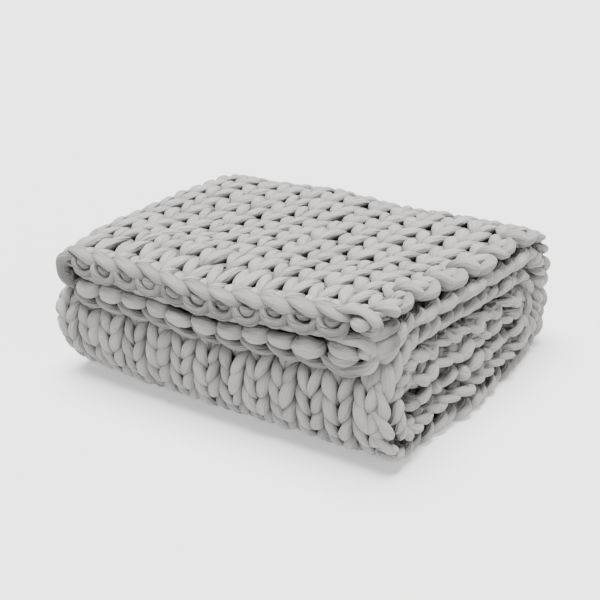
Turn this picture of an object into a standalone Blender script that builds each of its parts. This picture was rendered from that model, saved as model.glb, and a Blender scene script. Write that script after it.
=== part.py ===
"""A chunky hand-knitted weighted blanket, folded to lie on a shelf or a bench.

The blanket is one piece of cloth. It is first folded in half lengthwise, which
makes the soft fold down the left side and leaves both selvages on the right.
The doubled cloth is then folded up in four passes, one inside the other:
top, round the back, bottom, round the front, second, round inside, third.

Frame: X runs across the folded width, Y from front to back, Z up, and the
origin is under the middle of the folded blanket, on the surface it lies on.
"""

import math

import bmesh
import bpy
from mathutils import Vector

# Driving dimensions, in metres.
CLOTH = 0.024  # thickness of the knitted cloth
PAIR = 0.027  # from the middle of the outer layer to the middle of the inner one
LEFT, RIGHT = -0.272, 0.262  # edges of the doubled cloth before it spreads

# Heights of the middle of the doubled cloth in each pass.
TOP_Z = 0.1930
SECOND_Z = 0.1390
THIRD_Z = 0.0830
BOTTOM_Z = CLOTH / 2 + PAIR / 2

# The free end of the top pass hangs over the front, with its two layers apart.
TIP_Y, TIP_Z = -0.2350, 0.1710
TIP_PAIR = 0.0490
TIP_LENGTH = 0.088  # over this length the end comes down and opens

# Each turn: middle of its half loop along Y, how far it reaches out from there,
# and how full its upper and lower quarters are (2 is an ellipse, more is boxier).
TURNS = {
    "back": {"y": 0.160, "reach": 0.098, "upper": 2.0, "lower": 2.6},
    "front": {"y": -0.150, "reach": 0.0680, "upper": 1.9, "lower": 3.0},
    "inside": {"y": 0.148, "reach": 0.0320, "upper": 2.0, "lower": 2.0},
}
THIRD_END_Y = -0.152  # where the hidden end of the third pass stops
BACK_DROP = 0.004  # the passes sink this much from the front to the back

# How the sides spread: the selvages lie further out towards the back and where
# the bottom pass is pressed flat, and the fold lies further out below the top.
BACK_SPREAD = 0.024
BACK_SPREAD_FROM, BACK_SPREAD_TO = -0.120, 0.150
BOTTOM_SPREAD, BOTTOM_SPREAD_HEIGHT = 0.016, 0.050
BOTTOM_SPREAD_Y, BOTTOM_SPREAD_HALF = -0.020, 0.100
FOLD_SPREAD = 0.020
FOLD_SPREAD_FROM, FOLD_SPREAD_TO = 0.180, 0.120

# Unevenness of a soft, hand-folded heap: gentle swells in the height of its top.
SWELLS = (
    {"size": 0.0028, "x_waves": 1.3, "y_waves": 0.9, "phase": 0.6},
    {"size": 0.0020, "x_waves": -1.9, "y_waves": 1.6, "phase": 2.4},
    {"size": 0.0014, "x_waves": 2.6, "y_waves": 2.3, "phase": 4.1},
)
SWELL_SPAN = 0.550  # one wave of a swell with a count of 1
LEVEL_BELOW = 0.030  # nothing under this height is lifted, so the rest is flat

# The middle of the box round the spread cloth, which becomes X = Y = 0.
MIDDLE_X, MIDDLE_Y = -0.0018, 0.0181

# Resolution of the model.
FINE_STEPS = 60  # points in each straight run or turn, before spacing evenly
SMOOTHING = 14  # passes of smoothing where runs meet turns
ROWS = 86  # rows of faces along the blanket
FLAT_COLUMNS = 10  # columns of faces across each flat layer
FOLD_COLUMNS = 5  # columns of faces round the lengthwise fold

COLLECTION = "weighted_blanket"
GREY = (0.56, 0.56, 0.55, 1.0)
ROUGHNESS = 0.9


def power(value, exponent):
    """A signed power, for superellipses."""
    return math.copysign(abs(value) ** exponent, value)


def straight(start, end):
    """Evenly spaced points from start up to, but not including, end."""
    return [start.lerp(end, i / FINE_STEPS) for i in range(FINE_STEPS)]


def half_turn(turn, z_from, z_to, outward):
    """Points round a half loop that leaves at z_from and comes back at z_to."""
    middle, half = (z_from + z_to) / 2, (z_from - z_to) / 2
    points = []
    for i in range(FINE_STEPS):
        angle = math.pi * i / FINE_STEPS
        height = half * math.cos(angle)
        fullness = turn["upper"] if height > 0 else turn["lower"]
        y = turn["y"] + outward * turn["reach"] * power(math.sin(angle), 2 / fullness)
        z = middle + half * power(math.cos(angle), 2 / fullness)
        points.append(Vector((y, z)))
    return points


def hanging_end():
    """The free end of the top pass, which eases down to its tip."""
    points = []
    for i in range(FINE_STEPS):
        part = i / FINE_STEPS
        rise = (TOP_Z - TIP_Z) * math.sin(part * math.pi / 2)
        points.append(Vector((TIP_Y + TIP_LENGTH * part, TIP_Z + rise)))
    return points


def smoothed(points):
    """The points with corners eased, ends kept."""
    for _ in range(SMOOTHING):
        inner = zip(points, points[1:], points[2:])
        points = [points[0], *((a + b * 2 + c) / 4 for a, b, c in inner), points[-1]]
    return points


def fold_path():
    """The middle of the doubled cloth in the YZ plane, from the top's free end."""
    back, front, inside = TURNS["back"], TURNS["front"], TURNS["inside"]
    top_back_z = TOP_Z - BACK_DROP
    second_back_z = SECOND_Z - BACK_DROP
    third_back_z = THIRD_Z - BACK_DROP
    points = hanging_end()
    points += straight(
        Vector((TIP_Y + TIP_LENGTH, TOP_Z)), Vector((back["y"], top_back_z))
    )
    points += half_turn(back, top_back_z, BOTTOM_Z, 1)
    points += straight(Vector((back["y"], BOTTOM_Z)), Vector((front["y"], BOTTOM_Z)))
    points += half_turn(front, BOTTOM_Z, SECOND_Z, -1)
    points += straight(
        Vector((front["y"], SECOND_Z)), Vector((inside["y"], second_back_z))
    )
    points += half_turn(inside, second_back_z, third_back_z, 1)
    points += straight(
        Vector((inside["y"], third_back_z)), Vector((THIRD_END_Y, THIRD_Z))
    )
    points.append(Vector((THIRD_END_Y, THIRD_Z)))
    return smoothed(points)


def stations(path, count):
    """count + 1 points evenly along the path, each with its outward normal and run."""
    runs = [0.0]
    for a, b in zip(path, path[1:]):
        runs.append(runs[-1] + (b - a).length)
    found = []
    k = 0
    for i in range(count + 1):
        run = runs[-1] * i / count
        while k < len(path) - 2 and runs[k + 1] < run:
            k += 1
        part = (run - runs[k]) / (runs[k + 1] - runs[k])
        along = (path[min(k + 2, len(path) - 1)] - path[max(k - 1, 0)]).normalized()
        outward = Vector((-along.y, along.x))
        found.append((path[k].lerp(path[k + 1], part), outward, run))
    return found


def layer_gap(run):
    """How far apart the two layers' middles are, at this run from the free end."""
    part = min(run / TIP_LENGTH, 1.0)
    return TIP_PAIR + (PAIR - TIP_PAIR) * math.sin(part * math.pi / 2)


def section(gap):
    """The doubled cloth's middle line across its width, as (x, offset) pairs.

    It runs from the outer layer's selvage, round the lengthwise fold, to the
    inner layer's selvage.
    """
    radius = gap / 2
    fold_x = LEFT + CLOTH / 2 + radius
    flat = [RIGHT + (fold_x - RIGHT) * i / FLAT_COLUMNS for i in range(FLAT_COLUMNS)]
    outer = [(x, radius) for x in flat]
    angles = [math.pi * i / FOLD_COLUMNS for i in range(FOLD_COLUMNS + 1)]
    fold = [(fold_x - radius * math.sin(a), radius * math.cos(a)) for a in angles]
    inner = [(x, -radius) for x in reversed(flat)]
    return outer + fold + inner


def ease(value, start, end):
    """0 before start and 1 after end, with a smooth climb between."""
    part = min(max((value - start) / (end - start), 0.0), 1.0)
    return part * part * (3 - 2 * part)


def spread(x, y, z):
    """How far a point of the neatly folded cloth moves sideways."""
    if x < 0:
        return x / LEFT * -FOLD_SPREAD * ease(z, FOLD_SPREAD_FROM, FOLD_SPREAD_TO)
    back = BACK_SPREAD * ease(y, BACK_SPREAD_FROM, BACK_SPREAD_TO)
    along = (y - BOTTOM_SPREAD_Y) / BOTTOM_SPREAD_HALF
    up = z / BOTTOM_SPREAD_HEIGHT
    bottom = BOTTOM_SPREAD * math.exp(-(along**2) - up**2)
    return x / RIGHT * (back + bottom)


def lift(x, y, z):
    """How far a point of the neatly folded cloth moves up."""
    turn = 2 * math.pi / SWELL_SPAN
    total = 0.0
    for wave in SWELLS:
        angle = turn * (wave["x_waves"] * x + wave["y_waves"] * y) + wave["phase"]
        total += wave["size"] * math.sin(angle)
    return total * ease(z, LEVEL_BELOW, TOP_Z)


def settled(x, y, z):
    """A point of the neatly folded cloth, moved to where it really lies."""
    out = x + spread(x, y, z) - MIDDLE_X
    return Vector((out, y - MIDDLE_Y, z + lift(x, y, z)))


def cloth_surface():
    """The middle surface of the cloth: a grid laid along the folds."""
    mesh = bpy.data.meshes.new("blanket")
    shape = bmesh.new()
    columns = 2 * FLAT_COLUMNS + FOLD_COLUMNS
    bmesh.ops.create_grid(shape, x_segments=columns, y_segments=ROWS, size=1.0)
    path = stations(fold_path(), ROWS)
    for vertex in shape.verts:
        column = round((vertex.co.x + 1) / 2 * columns)
        row = round((vertex.co.y + 1) / 2 * ROWS)
        middle, outward, run = path[row]
        x, offset = section(layer_gap(run))[column]
        place = middle + outward * offset
        vertex.co = settled(x, place.x, place.y)
    bmesh.ops.recalc_face_normals(shape, faces=shape.faces)
    shape.to_mesh(mesh)
    shape.free()
    return mesh


def knit_material():
    """Soft light grey jersey yarn."""
    material = bpy.data.materials.new("grey_jersey_yarn")
    material.use_nodes = True
    shader = material.node_tree.nodes["Principled BSDF"]
    shader.inputs["Base Color"].default_value = GREY
    shader.inputs["Roughness"].default_value = ROUGHNESS
    shader.inputs["Metallic"].default_value = 0.0
    return material


def blanket(collection):
    """The whole folded blanket, one solid."""
    mesh = cloth_surface()
    mesh.materials.append(knit_material())
    piece = bpy.data.objects.new("blanket", mesh)
    collection.objects.link(piece)
    thick = piece.modifiers.new("cloth thickness", "SOLIDIFY")
    thick.thickness = CLOTH
    thick.offset = 0.0
    thick.use_even_offset = True
    mesh.shade_smooth()
    return piece


def main():
    for old in list(bpy.data.objects):
        bpy.data.objects.remove(old, do_unlink=True)
    collection = bpy.data.collections.new(COLLECTION)
    bpy.context.scene.collection.children.link(collection)
    blanket(collection)


main()
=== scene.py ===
"""Looks of a chunky hand-knitted weighted blanket, folded.

Every row of stitches is one long tube of stuffed jersey yarn, laid out in the
flat and then carried round the folds of the CAD model. Flat knitting has three
coordinates here: wale counts stitches across the cloth, distance is in metres
along it from the free end, and height is in metres from the middle of the
cloth towards its right side.
"""

import math

import bpy
import numpy as np
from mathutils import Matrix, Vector


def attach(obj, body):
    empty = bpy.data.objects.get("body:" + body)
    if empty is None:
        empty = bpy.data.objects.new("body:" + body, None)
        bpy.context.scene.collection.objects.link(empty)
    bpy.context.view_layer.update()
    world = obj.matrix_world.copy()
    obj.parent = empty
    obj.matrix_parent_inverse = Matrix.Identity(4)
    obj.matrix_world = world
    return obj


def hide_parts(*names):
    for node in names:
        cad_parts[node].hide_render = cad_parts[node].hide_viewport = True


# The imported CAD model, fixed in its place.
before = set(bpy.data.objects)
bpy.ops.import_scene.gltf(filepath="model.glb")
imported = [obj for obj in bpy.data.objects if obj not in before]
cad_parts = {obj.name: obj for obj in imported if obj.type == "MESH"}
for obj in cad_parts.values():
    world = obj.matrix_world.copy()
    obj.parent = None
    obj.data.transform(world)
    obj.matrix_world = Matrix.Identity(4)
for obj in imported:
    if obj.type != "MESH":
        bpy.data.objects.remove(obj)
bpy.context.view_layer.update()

# The folds of the CAD model, in metres, as its own source has them.
CLOTH = 0.024
PAIR = 0.027
LEFT, RIGHT = -0.272, 0.262
TOP_Z = 0.1930
SECOND_Z = 0.1390
THIRD_Z = 0.0830
BOTTOM_Z = CLOTH / 2 + PAIR / 2
TIP_Y, TIP_Z = -0.2350, 0.1710
TIP_PAIR = 0.0490
TIP_LENGTH = 0.088
TURNS = {
    "back": {"y": 0.160, "reach": 0.098, "upper": 2.0, "lower": 2.6},
    "front": {"y": -0.150, "reach": 0.0680, "upper": 1.9, "lower": 3.0},
    "inside": {"y": 0.148, "reach": 0.0320, "upper": 2.0, "lower": 2.0},
}
THIRD_END_Y = -0.152
BACK_DROP = 0.004
BACK_SPREAD = 0.024
BACK_SPREAD_FROM, BACK_SPREAD_TO = -0.120, 0.150
BOTTOM_SPREAD, BOTTOM_SPREAD_HEIGHT = 0.016, 0.050
BOTTOM_SPREAD_Y, BOTTOM_SPREAD_HALF = -0.020, 0.100
FOLD_SPREAD = 0.020
FOLD_SPREAD_FROM, FOLD_SPREAD_TO = 0.180, 0.120
SWELLS = (
    {"size": 0.0028, "x_waves": 1.3, "y_waves": 0.9, "phase": 0.6},
    {"size": 0.0020, "x_waves": -1.9, "y_waves": 1.6, "phase": 2.4},
    {"size": 0.0014, "x_waves": 2.6, "y_waves": 2.3, "phase": 4.1},
)
SWELL_SPAN = 0.550
LEVEL_BELOW = 0.030
MIDDLE_X, MIDDLE_Y = -0.0018, 0.0181
FINE_STEPS = 60
SMOOTHING = 14
OVERHANG_STEPS = 12  # the line goes straight on past both ends of the cloth

# Where a soft heap of knitting differs from that neat shape, in metres. Each pull
# moves what is at one place, and moves what is further away less and less.
PULLS = (
    {"at": (-0.235, 0.120, 0.205), "reach": (0.10, 0.16, 0.05), "move": (-0.016, 0.004, 0.009)},
    {"at": (0.260, -0.090, 0.060), "reach": (0.10, 0.16, 0.06), "move": (0.011, 0.000, 0.000)},
    {"at": (0.220, -0.250, 0.205), "reach": (0.10, 0.08, 0.04), "move": (0.000, 0.004, 0.006)},
    {"at": (0.270, -0.265, 0.175), "reach": (0.07, 0.06, 0.05), "move": (0.000, 0.003, 0.014)},
    {"at": (0.000, -0.175, 0.215), "reach": (0.26, 0.065, 0.04), "move": (0.000, 0.000, 0.008)},
    {"at": (0.070, 0.210, 0.200), "reach": (0.22, 0.12, 0.05), "move": (0.000, 0.003, 0.008)},
    {"at": (-0.270, -0.200, 0.020), "reach": (0.10, 0.12, 0.05), "move": (0.012, 0.010, 0.004)},
    {"at": (0.270, -0.210, 0.030), "reach": (0.08, 0.08, 0.06), "move": (0.009, 0.000, 0.000)},
    {"at": (0.290, 0.140, 0.040), "reach": (0.08, 0.12, 0.06), "move": (0.007, 0.000, 0.000)},
)

# The stitches.
STITCH = 0.0402  # width of a stitch, and its length where the cloth isn't squeezed
WALES = 27  # stitches across the blanket
CREST = 0.008  # height at which distances along the cloth are measured
FIRST_ROW = 0.007  # the first row starts this far from the free end
END_MARGIN = 0.020  # and no row starts nearer than this to the other end
SIDES = 12  # faces round the yarn
INNER_SIDES = 10  # faces round it where the cloth lies inside the other passes

# Rows at some distances from the free end, in metres: how long the row is, how long
# the legs of its stitches are, and how high, wide and thick those are, as a share.
ROW_SHAPES = (
    {"at": 0.007, "row": 0.0180, "leg": 0.028, "stand": 0.80, "wide": 1.00, "thick": 0.90},
    {"at": 0.025, "row": 0.0440, "leg": 0.048, "stand": 0.70, "wide": 1.04, "thick": 0.92},
    {"at": 0.070, "row": 0.0402, "leg": 0.0455, "stand": 0.60, "wide": 1.05, "thick": 0.88},
    {"at": 0.420, "row": 0.0402, "leg": 0.0455, "stand": 0.62, "wide": 1.05, "thick": 0.88},
    {"at": 0.550, "row": 0.0360, "leg": 0.046, "stand": 0.90, "wide": 1.00, "thick": 1.00},
    {"at": 1.000, "row": 0.0340, "leg": 0.044, "stand": 0.90, "wide": 1.00, "thick": 1.00},
    {"at": 1.120, "row": 0.0285, "leg": 0.046, "stand": 1.20, "wide": 0.93, "thick": 1.05},
)

# Every strand of yarn is a table of points along it. Its columns are: across and
# along the cloth, in stitches; height, half width and half depth, in millimetres;
# and the rings of faces from this point to the next where the cloth shows.
MILLIMETRES = 1000  # in a metre

# Half a stitch, from between two stitches, up one leg, to the head of the loop.
HALF_LOOP = (
    (-0.50, 0.04, -7.2, 8.6, 5.2, 1),
    (-0.27, -0.08, -7.5, 6.5, 4.8, 2),
    (-0.08, -0.12, -4.5, 4.0, 3.9, 3),
    (-0.08, 0.07, 0.8, 6.4, 5.9, 3),
    (-0.19, 0.35, 4.4, 9.2, 7.6, 4),
    (-0.30, 0.68, 3.6, 8.7, 7.0, 3),
    (-0.41, 0.99, -1.0, 4.8, 4.7, 2),
    (-0.29, 1.21, -6.5, 4.5, 4.5, 1),
)
LOOP_HEAD = (0.0, 1.30, -6.5, 8.0, 5.5, 1)

# The free end's edge on the outer layer: a rope along the top, and under it
# short humps, each held in a hanging loop.
OUTER_RIM = (
    (0.92, 0.24, 10.0, 3.0, 3.0, 3),
    (0.46, 0.17, 14.0, 8.2, 7.6, 4),
    (0.02, 0.05, 12.5, 9.4, 9.2, 4),
    (-0.40, -0.04, 8.5, 8.2, 8.0, 4),
    (-0.80, -0.04, 3.5, 3.0, 3.0, 1),
)
OUTER_HUMP = (
    (0.36, 0.14, 4.0, 3.0, 3.0, 3),
    (0.20, -0.04, 1.0, 5.8, 6.4, 3),
    (0.00, -0.10, -0.5, 6.6, 7.2, 3),
    (-0.20, -0.04, 0.5, 5.8, 6.4, 3),
    (-0.36, 0.14, 3.0, 3.0, 3.0, 1),
)
OUTER_LOOP = (
    (0.46, 0.14, 8.0, 4.0, 4.0, 3),
    (0.45, -0.12, 3.0, 5.0, 5.2, 3),
    (0.33, -0.28, -7.0, 5.4, 6.2, 4),
    (0.00, -0.32, -11.5, 5.6, 6.6, 4),
    (-0.33, -0.28, -8.0, 5.4, 6.2, 4),
    (-0.45, -0.12, 2.0, 5.0, 5.2, 3),
    (-0.46, 0.14, 8.0, 4.0, 4.0, 1),
)

# The same edge on the inner layer, pressed flat: a rope along the bottom, round
# bobbles over it, and leaves along the top.
INNER_RIM = (
    (-0.80, 0.00, -1.0, 3.0, 3.0, 3),
    (-0.44, -0.20, 7.0, 6.8, 6.2, 4),
    (0.00, -0.27, 13.5, 8.0, 7.0, 4),
    (0.46, -0.24, 15.5, 6.8, 6.2, 4),
    (0.90, -0.04, 13.5, 3.0, 3.0, 1),
)
INNER_BOBBLE = (
    (-0.46, 0.12, -8.0, 4.0, 5.0, 3),
    (-0.32, -0.14, -8.0, 9.5, 11.0, 4),
    (0.00, -0.24, -8.0, 12.0, 14.0, 4),
    (0.32, -0.14, -7.0, 9.5, 11.0, 4),
    (0.46, 0.12, -7.0, 4.0, 5.0, 1),
)
INNER_LEAF = (
    (-0.84, 0.30, -23.0, 3.0, 3.0, 3),
    (-0.42, 0.12, -25.5, 7.4, 6.8, 4),
    (0.00, 0.04, -25.0, 8.4, 7.4, 4),
    (0.42, 0.04, -22.5, 7.2, 6.6, 4),
    (0.80, 0.16, -18.0, 3.0, 3.0, 1),
)

# The selvages: knots and hooks wrap over the edge, leaves lie along it, and a rope
# of fat strands does both. OUTER_SELVAGE and INNER_SELVAGE say which goes where.
KNOT = (
    (0.62, -0.46, 0.0, 3.0, 3.0, 3),
    (0.44, -0.26, 6.0, 8.6, 7.4, 4),
    (0.20, -0.04, 8.0, 11.4, 9.0, 4),
    (-0.02, 0.16, 1.0, 10.4, 8.4, 4),
    (0.04, 0.36, -8.0, 3.5, 3.5, 1),
)
EDGE_LEAF = (
    (0.42, -0.86, -8.0, 2.5, 2.5, 3),
    (0.10, -0.46, -7.0, 7.0, 6.4, 4),
    (-0.08, -0.02, -3.0, 9.0, 7.8, 4),
    (0.02, 0.40, 2.0, 7.6, 6.6, 4),
    (0.30, 0.78, 4.0, 2.5, 2.5, 1),
)
ROPE = (
    (0.46, -0.52, 7.0, 3.0, 3.0, 3),
    (0.12, -0.38, 7.5, 7.5, 6.6, 4),
    (-0.04, -0.06, 1.5, 9.6, 8.0, 4),
    (0.00, 0.24, -5.0, 8.4, 7.2, 4),
    (0.32, 0.48, -8.0, 3.0, 3.0, 1),
)
SLANTED_LEAF = (
    (0.46, -0.66, -7.0, 2.5, 2.5, 3),
    (0.10, -0.40, -6.5, 6.2, 5.6, 4),
    (-0.06, 0.00, 0.0, 8.6, 7.2, 4),
    (0.00, 0.40, 6.5, 6.2, 5.6, 4),
    (0.30, 0.68, 8.5, 2.5, 2.5, 1),
)
HOOK = (
    (0.56, -0.44, -8.0, 3.0, 3.0, 3),
    (0.16, -0.34, -3.0, 7.0, 6.2, 4),
    (-0.04, -0.14, 6.0, 8.0, 7.0, 4),
    (-0.04, 0.14, 6.5, 8.0, 7.0, 4),
    (0.06, 0.34, -3.0, 6.5, 6.0, 4),
    (0.40, 0.44, -8.5, 3.0, 3.0, 1),
)
LONG_LEAF = (
    (0.40, -0.90, -7.0, 2.5, 2.5, 3),
    (0.06, -0.50, -4.5, 6.0, 5.4, 4),
    (-0.06, 0.00, 0.0, 8.0, 6.8, 4),
    (0.02, 0.50, 5.0, 6.0, 5.4, 4),
    (0.36, 0.88, 7.0, 2.5, 2.5, 1),
)

# The free end's corners: a band round the lengthwise fold, and at the right-hand
# corner the curls, bobbles and tails that both layers end in.
CORNER_BAND = (
    (2.20, 0.30, 15.5, 4.0, 4.0, 5),
    (1.30, 0.16, 9.0, 8.5, 8.5, 6),
    (0.50, 0.06, 0.0, 9.5, 9.5, 6),
    (-0.40, 0.04, -1.0, 9.5, 9.5, 6),
    (-1.20, 0.04, 4.0, 8.5, 8.5, 6),
    (-2.00, 0.16, 11.0, 4.0, 4.0, 1),
)
OUTER_CURL = (
    (1.80, 0.20, 10.0, 3.5, 3.5, 3),
    (1.34, 0.14, 15.0, 7.4, 7.0, 4),
    (0.88, 0.14, 20.5, 8.2, 7.8, 4),
    (0.42, 0.12, 23.0, 8.4, 8.0, 4),
    (0.04, 0.00, 17.0, 8.2, 8.0, 4),
    (-0.08, -0.12, 6.0, 7.6, 7.6, 4),
    (0.08, -0.16, -3.0, 6.8, 6.4, 4),
    (0.42, -0.12, -7.0, 5.0, 4.8, 4),
    (0.76, 0.02, -6.0, 3.0, 3.0, 1),
)
OUTER_BOBBLE = (
    (0.16, 0.10, 8.0, 5.0, 5.0, 3),
    (0.36, -0.20, 7.0, 10.4, 10.8, 4),
    (0.62, -0.22, 5.5, 10.6, 10.6, 4),
    (0.92, 0.06, 2.0, 5.0, 5.0, 1),
)
INNER_CURL = (
    (1.60, 0.10, -22.0, 3.5, 3.5, 3),
    (1.16, -0.06, -23.0, 7.4, 6.8, 4),
    (0.66, -0.14, -24.0, 8.6, 7.6, 4),
    (0.20, -0.14, -22.0, 8.8, 7.8, 4),
    (-0.12, -0.12, -9.0, 8.8, 8.0, 4),
    (0.04, -0.20, 6.0, 8.8, 8.0, 4),
    (0.54, -0.24, 12.0, 8.6, 7.4, 4),
    (1.06, -0.24, 12.5, 8.0, 7.0, 4),
    (1.60, -0.12, 13.0, 3.5, 4.0, 1),
)
INNER_KNOT = (
    (1.46, 0.00, -10.0, 4.0, 4.0, 3),
    (1.10, -0.22, -12.5, 8.6, 8.2, 4),
    (0.72, -0.26, -10.0, 8.8, 8.2, 4),
    (0.36, -0.12, -1.0, 5.0, 5.0, 1),
)
INNER_KNOT_BELOW = (
    (1.50, 0.00, 2.0, 4.0, 4.0, 3),
    (1.16, -0.22, 1.0, 8.4, 8.0, 4),
    (0.78, -0.24, 1.0, 8.0, 7.6, 4),
    (0.42, -0.12, -2.0, 5.0, 5.0, 1),
)
INNER_TAIL = (
    (0.90, -0.10, -8.0, 5.0, 5.0, 3),
    (0.44, -0.02, -8.0, 9.0, 9.6, 4),
    (0.14, 0.28, -7.0, 10.4, 10.4, 4),
    (0.04, 0.74, -4.0, 9.4, 9.0, 4),
    (0.34, 1.16, 0.0, 4.0, 4.0, 1),
)
INNER_TAIL_ABOVE = (
    (0.80, 0.00, -24.0, 4.0, 4.0, 3),
    (0.36, 0.20, -24.0, 8.6, 8.4, 4),
    (0.12, 0.56, -22.0, 9.6, 9.0, 4),
    (0.08, 1.00, -18.0, 8.6, 8.0, 4),
    (0.36, 1.40, -12.0, 4.0, 4.0, 1),
)

# The other end's edge: a chain.
CAST_ON = (
    (-0.62, -0.08, 0.0, 4.0, 4.0, 2),
    (-0.30, 0.02, 4.0, 8.0, 8.0, 3),
    (0.10, 0.06, 4.0, 9.0, 9.0, 3),
    (0.62, -0.04, -2.0, 4.0, 4.0, 1),
)

# Where those go. Down a selvage, each stretch ends at a distance from the free end,
# has a strand every so many metres, and takes its kinds of strands in turns.
INNER_CURL_BACK = 0.40  # the inner layer's curl stops this many stitches short
OUTER_WALES = 12  # up to this wale the edge is made the outer layer's way
INNER_FROM = 15  # and from this one, the inner layer's
EDGE_SEED = 90
SELVAGE_SEED = 70
OUTER_SELVAGE_FROM = 0.034  # how far from the free end its first strand is
INNER_SELVAGE_FROM = 0.022
OUTER_SELVAGE = (
    {"to": 0.46, "every": 0.036, "strands": (KNOT, EDGE_LEAF)},
    {"to": 1.36, "every": 0.029, "strands": (SLANTED_LEAF,)},
    {"to": 1.76, "every": 0.031, "strands": (LONG_LEAF, SLANTED_LEAF)},
    {"to": 2.20, "every": 0.034, "strands": (KNOT, EDGE_LEAF)},
)
INNER_SELVAGE = (
    {"to": 0.76, "every": 0.028, "strands": (ROPE,)},
    {"to": 1.36, "every": 0.034, "strands": (LONG_LEAF,)},
    {"to": 1.76, "every": 0.030, "strands": (HOOK, LONG_LEAF)},
    {"to": 2.20, "every": 0.030, "strands": (ROPE, SLANTED_LEAF, LONG_LEAF)},
)

# How much more uneven than a stitch the strands of each edge are.
BOUND_OFF_UNEVENNESS = 0.7
SELVAGE_UNEVENNESS = 1.4
CAST_ON_UNEVENNESS = 1.0

# The ways that parts of the cloth face: across, along and up from it, and how many
# metres out that way relief is counted from.
# relief sets how much painted shade a strand's colour gets
RIGHT_SIDE = (0.0, 0.0, 1.0, 0.0)
OUT_OF_END = (0.0, -0.5, 0.45, 0.0045)
UNDER_THE_END = (0.0, -0.45, -0.25, -0.0015)
OUT_AND_UP = (-0.3, 0.0, 0.35, -0.0015)
OUT_TO_THE_SIDE = (1.0, 0.0, 0.0, -0.008)

# The cloth is made in sections. Stitches up to the wale shows_to are in sight, so
# they are made more finely.
SECTIONS = {
    "knit_top_pass": {"from": -0.01, "to": 0.42, "shows_to": 14, "sides": SIDES, "seed": 1},
    "knit_back_turn": {"from": 0.42, "to": 0.76, "shows_to": 14, "sides": SIDES, "seed": 2},
    "knit_bottom_pass": {"from": 0.76, "to": 1.07, "shows_to": 0, "sides": SIDES, "seed": 3},
    "knit_front_turn": {"from": 1.07, "to": 1.36, "shows_to": 14, "sides": SIDES, "seed": 4},
    "knit_second_pass": {"from": 1.36, "to": 1.73, "shows_to": 0, "sides": INNER_SIDES, "seed": 5},
    "knit_third_pass": {"from": 1.73, "to": 2.20, "shows_to": 0, "sides": INNER_SIDES, "seed": 6},
}

# The yarn: a soft tube of jersey with a light, loose stuffing.
YARN_HALF = 0.010  # half its width where it isn't squeezed
UNEVEN_PLACE = (0.030, 0.050, 0.0010)  # across and along in stitches, up in metres
UNEVEN_FATNESS = 0.09  # as a share of its width and of its depth
OVAL_LUMPS = 0.05  # how far the yarn is from round, with two bulges round it
THREE_LUMPS = 0.04  # and with three
END_ROUNDING = 0.3  # a strand's very end, as a share of its thickness there
TINY = 1e-9  # stands in for a length of nothing, where one is divided by

# Its creases, ribs and nap. A stretch is of the place on the yarn: round it, in two
# parts, and along it. Depths are in metres.
CREASE_NOISE = {"scale": 115.0, "detail": 1.5}
CREASE_STRETCH = (1.0, 1.0, 0.24)
CREASE_WIDTH = 0.17  # as a change in the noise that lays the creases out
CREASE_DEPTH = 0.0030
CREASE_PAINTED_SHADE = 0.74  # lightness of the painted shade at the bottom of a crease
PINCHED, PLUMP = 0.30, 0.80  # how full the yarn is where it is pinched, and where not
PLUMP_CREASES = 0.40  # how strong its creases are where it is plump
RIB_NOISE = {"scale": 1500.0, "detail": 1.0}
RIB_STRETCH = (1.0, 1.0, 0.05)
RIB_DEPTH = 0.00018
NAP_NOISE = {"scale": 1900.0, "detail": 2.0}
NAP_DEPTH = 0.00015

# Its colour, with painted shade where a strand is sheltered by its neighbours. Relief is
# how far a strand's surface stands out of the cloth, in metres, and it counts for less
# low down in the heap, where less light comes in, except beside the selvages, where
# painted light from the side is added.
# the yarn's colour in full painted shade, and in full light
YARN_IN_PAINTED_SHADE = (0.11, 0.108, 0.105)
YARN_LIGHT = (0.272, 0.267, 0.262)
PAINTED_SHADE_RANGE = (-0.001, 0.0095)  # relief from full painted shade to full light
SHELTERED_BELOW, OPEN_ABOVE = 0.120, 0.200  # heights in the heap, from full painted shade to none
LOWER_PAINTED_SHADE = 0.0045  # taken off relief low down, as painted shade
SIDE_STITCHES = (0.2, 0.9)  # how near to a selvage painted light comes in from the side
PAINTED_SIDE_LIGHT = 0.012  # added to relief there, as painted light from the side
PATCH_NOISE = {"scale": 26.0, "detail": 2.0}
PATCH_LIGHTNESS = (0.90, 1.0)
MOST_OF_NOISE = (0.3, 0.7)  # a noise is seldom outside this
ROUGHNESS = (0.80, 0.96)
SHEEN = 0.15
SHEEN_ROUGHNESS = 0.5

# A plain pale studio.
FLOOR_SIZE = 14.0
FLOOR_COLOUR = (0.60, 0.60, 0.60, 1.0)
FLOOR_GLOW = 0.92  # the floor is a lit panel, which keeps shadows faint
STUDIO_COLOUR = (0.965, 0.98, 1.0, 1.0)
STUDIO_STRENGTH = 0.38
OVERHEAD_AT = (-0.16, -0.10, 2.0)
OVERHEAD_COLOUR = (1.0, 0.99, 0.975)
OVERHEAD_STRENGTH = 13.5
OVERHEAD_ANGLE = math.radians(40)
FILL_AT = (2.0, -0.8, 0.4)
FILL_COLOUR = (1.0, 0.93, 0.87)
FILL_STRENGTH = 2.3
FILL_ANGLE = math.radians(60)

# A camera to the front right, a little above.
CAMERA_AT = (0.7641, -1.2247, 0.6993)
CAMERA_TOWARDS = (0.0026, -0.0181, 0.0990)
CAMERA_LENS = 60.6
CAMERA_SENSOR = 36.0


# ---------------------------------------------------------------- the folds


def power(value, exponent):
    """A signed power, for superellipses."""
    return math.copysign(abs(value) ** exponent, value)


def straight(start, end):
    """Evenly spaced points from start up to, but not including, end."""
    part = np.arange(FINE_STEPS)[:, None] / FINE_STEPS
    return np.array(start) * (1 - part) + np.array(end) * part


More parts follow.
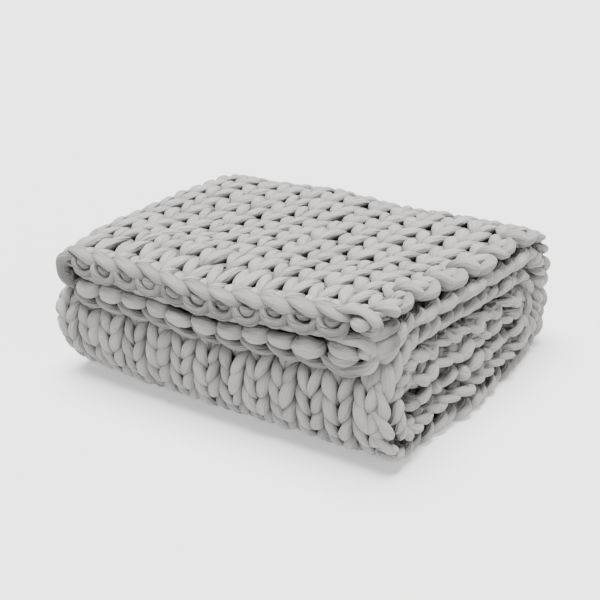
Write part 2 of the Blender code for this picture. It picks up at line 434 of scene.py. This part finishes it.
def half_turn(turn, z_from, z_to, outward):
    """Points round a half loop, a superellipse that goes from z_from to z_to."""
    middle, half = (z_from + z_to) / 2, (z_from - z_to) / 2
    points = []
    for i in range(FINE_STEPS):
        angle = math.pi * i / FINE_STEPS
        height = half * math.cos(angle)
        fullness = turn["upper"] if height > 0 else turn["lower"]
        y = turn["y"] + outward * turn["reach"] * power(math.sin(angle), 2 / fullness)
        z = middle + half * power(math.cos(angle), 2 / fullness)
        points.append((y, z))
    return np.array(points)


def hanging_end():
    """The free end of the top pass, which eases down to its tip."""
    part = np.arange(FINE_STEPS) / FINE_STEPS
    rise = (TOP_Z - TIP_Z) * np.sin(part * math.pi / 2)
    return np.column_stack([TIP_Y + TIP_LENGTH * part, TIP_Z + rise])


def fold_path():
    """The middle of the doubled cloth in the YZ plane, from the top's free end."""
    back, front, inside = TURNS["back"], TURNS["front"], TURNS["inside"]
    top_back_z = TOP_Z - BACK_DROP
    second_back_z = SECOND_Z - BACK_DROP
    third_back_z = THIRD_Z - BACK_DROP
    stretches = (
        hanging_end(),
        straight((TIP_Y + TIP_LENGTH, TOP_Z), (back["y"], top_back_z)),
        half_turn(back, top_back_z, BOTTOM_Z, 1),
        straight((back["y"], BOTTOM_Z), (front["y"], BOTTOM_Z)),
        half_turn(front, BOTTOM_Z, SECOND_Z, -1),
        straight((front["y"], SECOND_Z), (inside["y"], second_back_z)),
        half_turn(inside, second_back_z, third_back_z, 1),
        straight((inside["y"], third_back_z), (THIRD_END_Y, THIRD_Z)),
        np.array([(THIRD_END_Y, THIRD_Z)]),
    )
    points = np.concatenate(stretches)
    for _ in range(SMOOTHING):
        points[1:-1] = (points[:-2] + points[1:-1] * 2 + points[2:]) / 4
    return points


def unit(vectors):
    """The vectors, each scaled to a length of one."""
    return vectors / np.maximum(np.linalg.norm(vectors, axis=1), TINY)[:, None]


def running_length(points):
    """Distance along a line of points, at each of them."""
    steps = np.linalg.norm(np.diff(points, axis=0), axis=1)
    return np.concatenate([[0.0], np.cumsum(steps)])


def layer_gap(run):
    """How far apart the two layers' middles are, at this run from the free end."""
    part = np.clip(run / TIP_LENGTH, 0.0, 1.0)
    return TIP_PAIR + (PAIR - TIP_PAIR) * np.sin(part * math.pi / 2)


def ease(value, start, end):
    """0 before start and 1 after end, with a smooth climb between."""
    part = np.clip((value - start) / (end - start), 0.0, 1.0)
    return part * part * (3 - 2 * part)


def spread(x, y, z):
    """How far a point of the neatly folded cloth moves sideways."""
    fold = x / LEFT * -FOLD_SPREAD * ease(z, FOLD_SPREAD_FROM, FOLD_SPREAD_TO)
    back = BACK_SPREAD * ease(y, BACK_SPREAD_FROM, BACK_SPREAD_TO)
    along = (y - BOTTOM_SPREAD_Y) / BOTTOM_SPREAD_HALF
    up = z / BOTTOM_SPREAD_HEIGHT
    bottom = BOTTOM_SPREAD * np.exp(-(along**2) - up**2)
    return np.where(x < 0, fold, x / RIGHT * (back + bottom))


def lift(x, y, z):
    """How far a point of the neatly folded cloth moves up."""
    turn = 2 * math.pi / SWELL_SPAN
    total = np.zeros_like(x)
    for wave in SWELLS:
        angle = turn * (wave["x_waves"] * x + wave["y_waves"] * y) + wave["phase"]
        total += wave["size"] * np.sin(angle)
    return total * ease(z, LEVEL_BELOW, TOP_Z)


def settled(x, y, z):
    """Points of the neatly folded cloth, moved to where they really lie."""
    out = x + spread(x, y, z) - MIDDLE_X
    place = np.stack([out, y - MIDDLE_Y, z + lift(x, y, z)], axis=-1)
    moves = np.zeros_like(place)
    for pull in PULLS:
        away = (place - pull["at"]) / pull["reach"]
        near = np.exp(-(away**2).sum(axis=-1))
        moves += near[..., None] * pull["move"]
    return place + moves


class Folds:
    """Carries flat knitting round the folds.

    It holds the line that the doubled cloth follows in the YZ plane, with the way
    out from it, half the gap between the layers, and the distance along the crests
    of the outer layer, at each of its points.
    """

    def __init__(self):
        path = fold_path()
        first = path[0] + (path[0] - path[1]) * OVERHANG_STEPS
        last = path[-1] + (path[-1] - path[-2]) * OVERHANG_STEPS
        overhang = np.linalg.norm(first - path[0])
        path = np.concatenate([[first], path, [last]])
        along = unit(np.gradient(path, axis=0))
        run = running_length(path) - overhang
        self.path = path
        self.outward = np.column_stack([-along[:, 1], along[:, 0]])
        self.radius = layer_gap(run) / 2
        surface = path + self.outward * (self.radius + CREST)[:, None]
        length = running_length(surface)
        self.distance = length - length[1]
        self.end = self.distance[-2]

    def place(self, wale, distance, height):
        """Where each point of flat knitting is in the folded blanket, over the floor."""
        y = np.interp(distance, self.distance, self.path[:, 0])
        z = np.interp(distance, self.distance, self.path[:, 1])
        out_y = np.interp(distance, self.distance, self.outward[:, 0])
        out_z = np.interp(distance, self.distance, self.outward[:, 1])
        radius = np.interp(distance, self.distance, self.radius)
        fold_x = LEFT + CLOTH / 2 + radius
        flat = (RIGHT - fold_x) / STITCH
        angle = np.clip((wale - flat) / (WALES - 2 * flat), 0.0, 1.0) * math.pi
        on_flat = np.minimum(wale, WALES - wale)
        x = np.where(on_flat < flat, RIGHT - on_flat * STITCH, fold_x)
        offset = (radius + height) * np.cos(angle)
        x = x - (radius + height) * np.sin(angle)
        place = settled(x, y + out_y * offset, z + out_z * offset)
        place[..., 2] = np.maximum(place[..., 2], 0.0)
        return place


FOLDS = Folds()


def row_shape(distance, column):
    """A measure of the row of stitches at this distance from the free end."""
    known = [row["at"] for row in ROW_SHAPES]
    return float(np.interp(distance, known, [row[column] for row in ROW_SHAPES]))


def row_starts():
    """The distance at which each row of stitches starts."""
    starts = [FIRST_ROW]
    while starts[-1] + row_shape(starts[-1], "row") < FOLDS.end - END_MARGIN:
        starts.append(starts[-1] + row_shape(starts[-1], "row"))
    return starts


ROW_STARTS = row_starts()


# ---------------------------------------------------------------- yarn


def strand(table):
    """A strand's points as (across, along, height, width, depth) rows, and its rings."""
    values = np.array(table, dtype=float)
    values[:, 2:5] /= MILLIMETRES
    return values[:, :5], values[:, 5].astype(int)


def spline(points, rings):
    """A Catmull-Rom spline through rows of values, with so many steps after each."""
    before = np.concatenate([points[:1], points[:-1]])
    after = np.concatenate([points[1:], points[-1:]])
    later = np.concatenate([points[2:], points[-1:], points[-1:]])
    index = np.repeat(np.arange(len(points)), rings)
    starts = np.cumsum(rings) - rings
    part = ((np.arange(len(index)) - starts[index]) / rings[index])[:, None]
    p0, p1, p2, p3 = before[index], points[index], after[index], later[index]
    return 0.5 * (
        2 * p1
        + (p2 - p0) * part
        + (2 * p0 - 5 * p1 + 4 * p2 - p3) * part**2
        + (3 * p1 - p0 - 3 * p2 + p3) * part**3
    )


def lumpy(lumps, angle):
    """The yarn's size at each angle round each ring, as a share of a neat tube's."""
    oval = lumps[:, :1] * np.cos(2 * angle) + lumps[:, 1:2] * np.sin(2 * angle)
    three = lumps[:, 2:3] * np.cos(3 * angle) + lumps[:, 3:] * np.sin(3 * angle)
    size = 1 + OVAL_LUMPS * oval + THREE_LUMPS * three
    size[[0, -1]] *= END_ROUNDING
    return size[..., None]


def tube(points, rings, sides, chance):
    """A line of lumpy yarn in flat metres, as rings of points and their values.

    The points' columns are across, along, height, half width and half depth, all
    in metres. on_yarn is where each of the rings' points is on the yarn: round it,
    in two parts, and along it. fullness is its half width as a share of YARN_HALF.
    """
    lumps = chance.normal(0.0, 1.0, (len(points), 4))
    line = spline(np.concatenate([points, lumps], axis=1), rings)
    centre, width, depth, lumps = line[:, :3], line[:, 3], line[:, 4], line[:, 5:]
    ahead = unit(np.gradient(centre, axis=0))
    side = unit(np.cross(ahead, (0.0, 0.0, 1.0)))
    up = np.cross(side, ahead)
    angle = 2 * math.pi * np.arange(sides) / sides
    across = np.cos(angle)[None, :, None] * (side * width[:, None])[:, None, :]
    through = np.sin(angle)[None, :, None] * (up * depth[:, None])[:, None, :]
    shape = centre[:, None, :] + (across + through) * lumpy(lumps, angle)
    turn = np.broadcast_to(angle, shape.shape[:2])
    length = np.broadcast_to(running_length(centre)[:, None], shape.shape[:2])
    on_yarn = np.stack([np.cos(turn), np.sin(turn), length / YARN_HALF], axis=-1)
    fullness = np.broadcast_to(width[:, None] / YARN_HALF, shape.shape[:2])
    return shape, {"on_yarn": on_yarn * YARN_HALF, "fullness": fullness}


def laid(shape, values, distance, facing, edge=0.0):
    """A tube carried to its place, and its values with its relief among them, which sets its
    painted shade.

    facing is one of the ways that cloth faces, and edge is how far across the
    cloth, in metres, the relief is measured from.
    """
    wale = shape[..., 0] / STITCH
    place = FOLDS.place(wale, distance + shape[..., 1], shape[..., 2])
    lower = 1 - ease(place[..., 2], SHELTERED_BELOW, OPEN_ABOVE)
    at_side = 1 - ease(np.minimum(wale, WALES - wale), *SIDE_STITCHES)
    relief = (shape - (edge, 0.0, 0.0)) @ np.array(facing[:3]) - facing[3]
    # painted shade low down in the heap, and painted light from the side beside the selvages
    relief += lower * (at_side * PAINTED_SIDE_LIGHT - LOWER_PAINTED_SHADE)
    return place, {**values, "relief": relief}


def shaken(points, chance, amount=1.0):
    """A strand's points, moved and fattened a little by chance."""
    points = points.copy()
    for column, size in enumerate(UNEVEN_PLACE):
        points[:, column] += chance.normal(0, size * amount)
    points[:, 3:] *= 1 + chance.normal(0, UNEVEN_FATNESS * amount, 2)
    return points


def full_loop():
    """One stitch of yarn, from between two stitches to between the next two."""
    near, near_rings = strand(HALF_LOOP)
    head, head_rings = strand([LOOP_HEAD])
    far = near[:0:-1] * (-1, 1, 1, 1, 1)
    points = np.concatenate([near, head, far])
    rings = np.concatenate([near_rings, head_rings, near_rings[:0:-1]])
    return points, rings


def row_of_stitches(start, chance, shows_to, sides):
    """One row of stitches as a tube, finely made up to the wale shows_to."""
    loop, fine = full_loop()
    coarse = np.ones_like(fine)
    points = []
    rings = []
    for wale in range(WALES):
        legs = np.array_split(loop, 2)
        stitch = np.concatenate([shaken(leg, chance) for leg in legs])
        stitch[:, 0] += wale + 0.5
        points.append(stitch)
        rings.append(fine if wale < shows_to else coarse)
    points = np.concatenate(points)
    points[:, 0] *= STITCH
    points[:, 1] *= row_shape(start, "leg")
    points[:, 2] *= row_shape(start, "stand")
    points[:, 3] *= row_shape(start, "wide")
    points[:, 4] *= row_shape(start, "thick")
    shape, values = tube(points, np.concatenate(rings), sides, chance)
    return laid(shape, values, start, RIGHT_SIDE)


def lone_strand(table, wale, distance, chance, facing, unevenness, mirrored=False):
    """A single strand of an edge, as a tube, with its zero at wale and distance."""
    points, rings = strand(table)
    points = shaken(points, chance, unevenness)
    if mirrored:
        points[:, 0] *= -1
    points[:, :2] *= STITCH
    points[:, 0] += wale * STITCH
    shape, values = tube(points, rings, SIDES, chance)
    return laid(shape, values, distance, facing, wale * STITCH)


# ---------------------------------------------------------------- pieces


def tube_faces(start, rings, sides):
    """The faces of one closed tube whose points begin at start."""
    i = np.arange(rings - 1)[:, None] * sides
    j = np.arange(sides)[None, :]
    k = (j + 1) % sides
    faces = np.stack([i + j, i + k, i + sides + k, i + sides + j], axis=-1)
    return start + faces.reshape(-1, 4)


def keep_value(mesh, name, arrays):
    """Store a number or a vector for every point of the mesh, for its material."""
    if arrays[0].ndim == 3:
        attribute = mesh.attributes.new(name, "FLOAT_VECTOR", "POINT")
        field = "vector"
    else:
        attribute = mesh.attributes.new(name, "FLOAT", "POINT")
        field = "value"
    flat = np.concatenate([array.reshape(-1) for array in arrays])
    attribute.data.foreach_set(field, flat.astype(np.float32))


def yarn_piece(name, tubes, material):
    """One object of several tubes of yarn."""
    quads = []
    caps = []
    start = 0
    for place, _ in tubes:
        rings, sides = place.shape[:2]
        quads.append(tube_faces(start, rings, sides))
        caps.append(list(range(start + sides - 1, start - 1, -1)))
        last = start + (rings - 1) * sides
        caps.append(list(range(last, last + sides)))
        start += rings * sides
    points = np.concatenate([place.reshape(-1, 3) for place, _ in tubes])
    mesh = bpy.data.meshes.new(name)
    mesh.from_pydata(points.tolist(), [], np.concatenate(quads).tolist() + caps)
    mesh.shade_smooth()
    mesh.materials.append(material)
    for value in ("on_yarn", "fullness", "relief"):
        keep_value(mesh, value, [values[value] for _, values in tubes])
    piece = bpy.data.objects.new(name, mesh)
    bpy.context.scene.collection.objects.link(piece)
    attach(piece, "root")
    return piece


def knit(name, section, material):
    """The rows of stitches of one section of the cloth, as one piece."""
    rows = [start for start in ROW_STARTS if section["from"] <= start < section["to"]]
    chance = np.random.default_rng(section["seed"])
    shows_to, sides = section["shows_to"], section["sides"]
    tubes = [row_of_stitches(start, chance, shows_to, sides) for start in rows]
    return yarn_piece(name, tubes, material)


def bound_off_edge(material):
    """The chain along the free end, round the lengthwise fold and back."""
    chance = np.random.default_rng(EDGE_SEED)

    def placed(table, wale, facing=OUT_OF_END, mirrored=False):
        """One strand of this edge."""
        return lone_strand(
            table, wale, 0.0, chance, facing, BOUND_OFF_UNEVENNESS, mirrored
        )

    tubes = []
    for wale in range(1, WALES - 1):
        if wale < OUTER_WALES:
            tubes.append(placed(OUTER_RIM, wale + 0.5))
            tubes.append(placed(OUTER_HUMP, wale + 0.5))
            tubes.append(placed(OUTER_LOOP, wale + 0.5))
        elif wale >= INNER_FROM:
            tubes.append(placed(INNER_RIM, wale + 0.5, UNDER_THE_END))
            tubes.append(placed(INNER_LEAF, wale + 0.5, UNDER_THE_END))
        if INNER_FROM <= wale < WALES - 2:
            tubes.append(placed(INNER_BOBBLE, wale + 0.5, UNDER_THE_END))
    tubes.append(placed(CORNER_BAND, WALES / 2))
    tubes.append(placed(OUTER_CURL, 0.0))
    tubes.append(placed(OUTER_BOBBLE, 0.0))
    for table in (INNER_CURL, INNER_KNOT, INNER_KNOT_BELOW):
        tubes.append(placed(table, WALES - INNER_CURL_BACK, UNDER_THE_END, True))
    for table in (INNER_TAIL, INNER_TAIL_ABOVE):
        tubes.append(placed(table, WALES, UNDER_THE_END, True))
    return yarn_piece("bound_off_edge", tubes, material)


def cast_on_edge(material):
    """The chain along the other end, which lies inside the folds."""
    chance = np.random.default_rng(EDGE_SEED + 1)
    tubes = []
    for wale in range(WALES):
        tubes.append(
            lone_strand(
                CAST_ON, wale + 0.5, FOLDS.end, chance, RIGHT_SIDE, CAST_ON_UNEVENNESS
            )
        )
    return yarn_piece("cast_on_edge", tubes, material)


def selvage(name, wale, start, stretches, material):
    """The yarn that turns back at the end of every row, down one long edge."""
    chance = np.random.default_rng(SELVAGE_SEED + wale)
    mirrored = wale > 0
    facing = OUT_TO_THE_SIDE if mirrored else OUT_AND_UP
    tubes = []
    distance = start
    for stretch in stretches:
        turn = 0
        while distance < min(stretch["to"], FOLDS.end - END_MARGIN):
            table = stretch["strands"][turn % len(stretch["strands"])]
            tubes.append(
                lone_strand(
                    table, wale, distance, chance, facing, SELVAGE_UNEVENNESS, mirrored
                )
            )
            distance += stretch["every"]
            turn += 1
    return yarn_piece(name, tubes, material)


# ---------------------------------------------------------------- materials


def add(tree, kind, **settings):
    """A new node with these settings."""
    node = tree.nodes.new(kind)
    for name, value in settings.items():
        setattr(node, name, value)
    return node


def value_of(tree, name):
    """The node that reads one of the values kept for every point of a mesh."""
    return add(tree, "ShaderNodeAttribute", attribute_name=name)


def noise(tree, vector, scale, detail):
    """A noise texture's value, from 0 to 1."""
    node = add(tree, "ShaderNodeTexNoise")
    node.inputs["Scale"].default_value = scale
    node.inputs["Detail"].default_value = detail
    tree.links.new(vector, node.inputs["Vector"])
    return node.outputs["Fac"]


def bump(tree, height, depth, below=None):
    """A bump from a height, on top of another bump if there is one."""
    node = add(tree, "ShaderNodeBump")
    node.inputs["Distance"].default_value = depth
    node.inputs["Strength"].default_value = 1.0
    tree.links.new(height, node.inputs["Height"])
    if below is not None:
        tree.links.new(below, node.inputs["Normal"])
    return node.outputs["Normal"]


def mapped(tree, value, low, high, to_low, to_high):
    """A value taken from one range to another, and kept inside it."""
    node = add(tree, "ShaderNodeMapRange")
    node.inputs["From Min"].default_value = low
    node.inputs["From Max"].default_value = high
    node.inputs["To Min"].default_value = to_low
    node.inputs["To Max"].default_value = to_high
    tree.links.new(value, node.inputs["Value"])
    return node.outputs["Result"]


def multiplied(tree, first, second):
    """The product of two values."""
    node = add(tree, "ShaderNodeMath", operation="MULTIPLY")
    tree.links.new(first, node.inputs[0])
    tree.links.new(second, node.inputs[1])
    return node.outputs["Value"]


def lined(tree, value):
    """0, but for narrow lines that rise to 1 where the value is a half."""
    off = add(tree, "ShaderNodeMath", operation="SUBTRACT")
    off.inputs[1].default_value = 0.5
    tree.links.new(value, off.inputs[0])
    away = add(tree, "ShaderNodeMath", operation="ABSOLUTE")
    tree.links.new(off.outputs["Value"], away.inputs[0])
    return mapped(tree, away.outputs["Value"], 0.0, CREASE_WIDTH, 1.0, 0.0)


def stretched(tree, vector, amounts):
    """A vector with each of its parts multiplied."""
    node = add(tree, "ShaderNodeVectorMath", operation="MULTIPLY")
    node.inputs[1].default_value = amounts
    tree.links.new(vector, node.inputs[0])
    return node.outputs["Vector"]


def coloured(tree, value, stops):
    """A colour from a value, by stops of a value and its red, green and blue."""
    node = add(tree, "ShaderNodeValToRGB")
    ramp = node.color_ramp
    for element, (position, colour) in zip(ramp.elements, stops):
        element.position = position
        element.color = (*colour, 1.0)
    tree.links.new(value, node.inputs["Fac"])
    return node.outputs["Color"]


def yarn_creases(tree, on_yarn):
    """Lengthwise creases, from 0 to 1, which are deepest where the yarn is pinched."""
    lengthwise = noise(tree, stretched(tree, on_yarn, CREASE_STRETCH), **CREASE_NOISE)
    fullness = value_of(tree, "fullness").outputs["Fac"]
    strength = mapped(tree, fullness, PINCHED, PLUMP, 1.0, PLUMP_CREASES)
    return multiplied(tree, lined(tree, lengthwise), strength)


def yarn_normal(tree, on_yarn, creases, nap):
    """The bumps of the creases, the ribs and the nap."""
    ribs = noise(tree, stretched(tree, on_yarn, RIB_STRETCH), **RIB_NOISE)
    normal = bump(tree, mapped(tree, creases, 0.0, 1.0, 1.0, 0.0), CREASE_DEPTH)
    normal = bump(tree, ribs, RIB_DEPTH, normal)
    return bump(tree, nap, NAP_DEPTH, normal)


def yarn_colour(tree, place, creases):
    """Light grey, with painted shade where the yarn is sheltered or creased, in faint patches."""
    relief = value_of(tree, "relief").outputs["Fac"]
    # painted shade from relief: 0 where the strand is sheltered, 1 in full light
    painted_shade = mapped(tree, relief, *PAINTED_SHADE_RANGE, 0.0, 1.0)
    patches = mapped(
        tree, noise(tree, place, **PATCH_NOISE), *MOST_OF_NOISE, *PATCH_LIGHTNESS
    )
    # painted shade at the bottom of the creases
    crease_shade = mapped(tree, creases, 0.0, 1.0, 1.0, CREASE_PAINTED_SHADE)
    lightness = multiplied(tree, multiplied(tree, painted_shade, patches), crease_shade)
    return coloured(tree, lightness, ((0.0, YARN_IN_PAINTED_SHADE), (1.0, YARN_LIGHT)))


def yarn_material():
    """Soft light grey jersey, wrinkled lengthwise where the yarn is pinched."""
    material = bpy.data.materials.new("grey_jersey_yarn")
    material.use_nodes = True
    tree = material.node_tree
    shader = tree.nodes["Principled BSDF"]
    on_yarn = value_of(tree, "on_yarn").outputs["Vector"]
    place = add(tree, "ShaderNodeTexCoord").outputs["Object"]
    creases = yarn_creases(tree, on_yarn)
    nap = noise(tree, place, **NAP_NOISE)
    roughness = mapped(tree, nap, *MOST_OF_NOISE, *ROUGHNESS)
    tree.links.new(yarn_normal(tree, on_yarn, creases, nap), shader.inputs["Normal"])
    tree.links.new(yarn_colour(tree, place, creases), shader.inputs["Base Color"])
    tree.links.new(roughness, shader.inputs["Roughness"])
    shader.inputs["Sheen Weight"].default_value = SHEEN
    shader.inputs["Sheen Roughness"].default_value = SHEEN_ROUGHNESS
    return material


def floor_material():
    """Plain pale paper."""
    material = bpy.data.materials.new("pale_floor")
    material.use_nodes = True
    shader = material.node_tree.nodes["Principled BSDF"]
    shader.inputs["Base Color"].default_value = FLOOR_COLOUR
    shader.inputs["Roughness"].default_value = 1.0
    shader.inputs["Specular IOR Level"].default_value = 0.0
    shader.inputs["Emission Color"].default_value = FLOOR_COLOUR
    shader.inputs["Emission Strength"].default_value = FLOOR_GLOW
    return material


# ---------------------------------------------------------------- stage


def floor():
    """A pale surface for the blanket to lie on."""
    bpy.ops.mesh.primitive_plane_add(size=FLOOR_SIZE, location=(0, 0, 0))
    plane = bpy.context.active_object
    plane.name = "floor"
    plane.data.materials.append(floor_material())


def look_at(thing, target):
    """Turn a camera or a light to face a point."""
    ahead = Vector(target) - thing.location
    thing.rotation_euler = ahead.to_track_quat("-Z", "Y").to_euler()


def camera():
    """The camera, where the photograph was taken from."""
    data = bpy.data.cameras.new("camera")
    data.lens = CAMERA_LENS
    data.sensor_width = CAMERA_SENSOR
    eye = bpy.data.objects.new("camera", data)
    eye.location = CAMERA_AT
    bpy.context.scene.collection.objects.link(eye)
    look_at(eye, CAMERA_TOWARDS)
    bpy.context.scene.camera = eye


def lamp(name, place, colour, strength, angle):
    """A broad soft light that shines on the blanket from one side."""
    data = bpy.data.lights.new(name, "SUN")
    data.color = colour
    data.energy = strength
    data.angle = angle
    light = bpy.data.objects.new(name, data)
    light.location = place
    bpy.context.scene.collection.objects.link(light)
    look_at(light, (0, 0, 0))


def lights():
    """A soft light overhead, a faint one from the right, and an even studio."""
    lamp(
        "overhead", OVERHEAD_AT, OVERHEAD_COLOUR, OVERHEAD_STRENGTH, OVERHEAD_ANGLE
    )
    lamp("fill", FILL_AT, FILL_COLOUR, FILL_STRENGTH, FILL_ANGLE)
    world = bpy.data.worlds.new("studio")
    world.use_nodes = True
    background = world.node_tree.nodes["Background"]
    background.inputs["Color"].default_value = STUDIO_COLOUR
    background.inputs["Strength"].default_value = STUDIO_STRENGTH
    bpy.context.scene.world = world


def main():
    """Make the stage and the blanket."""
    camera()
    floor()
    lights()
    yarn = yarn_material()
    pieces = [knit(name, section, yarn) for name, section in SECTIONS.items()]
    pieces.append(bound_off_edge(yarn))
    pieces.append(cast_on_edge(yarn))
    pieces.append(
        selvage("outer_selvage", 0, OUTER_SELVAGE_FROM, OUTER_SELVAGE, yarn)
    )
    pieces.append(
        selvage("inner_selvage", WALES, INNER_SELVAGE_FROM, INNER_SELVAGE, yarn)
    )
    for piece in pieces:
        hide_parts("blanket")


main()
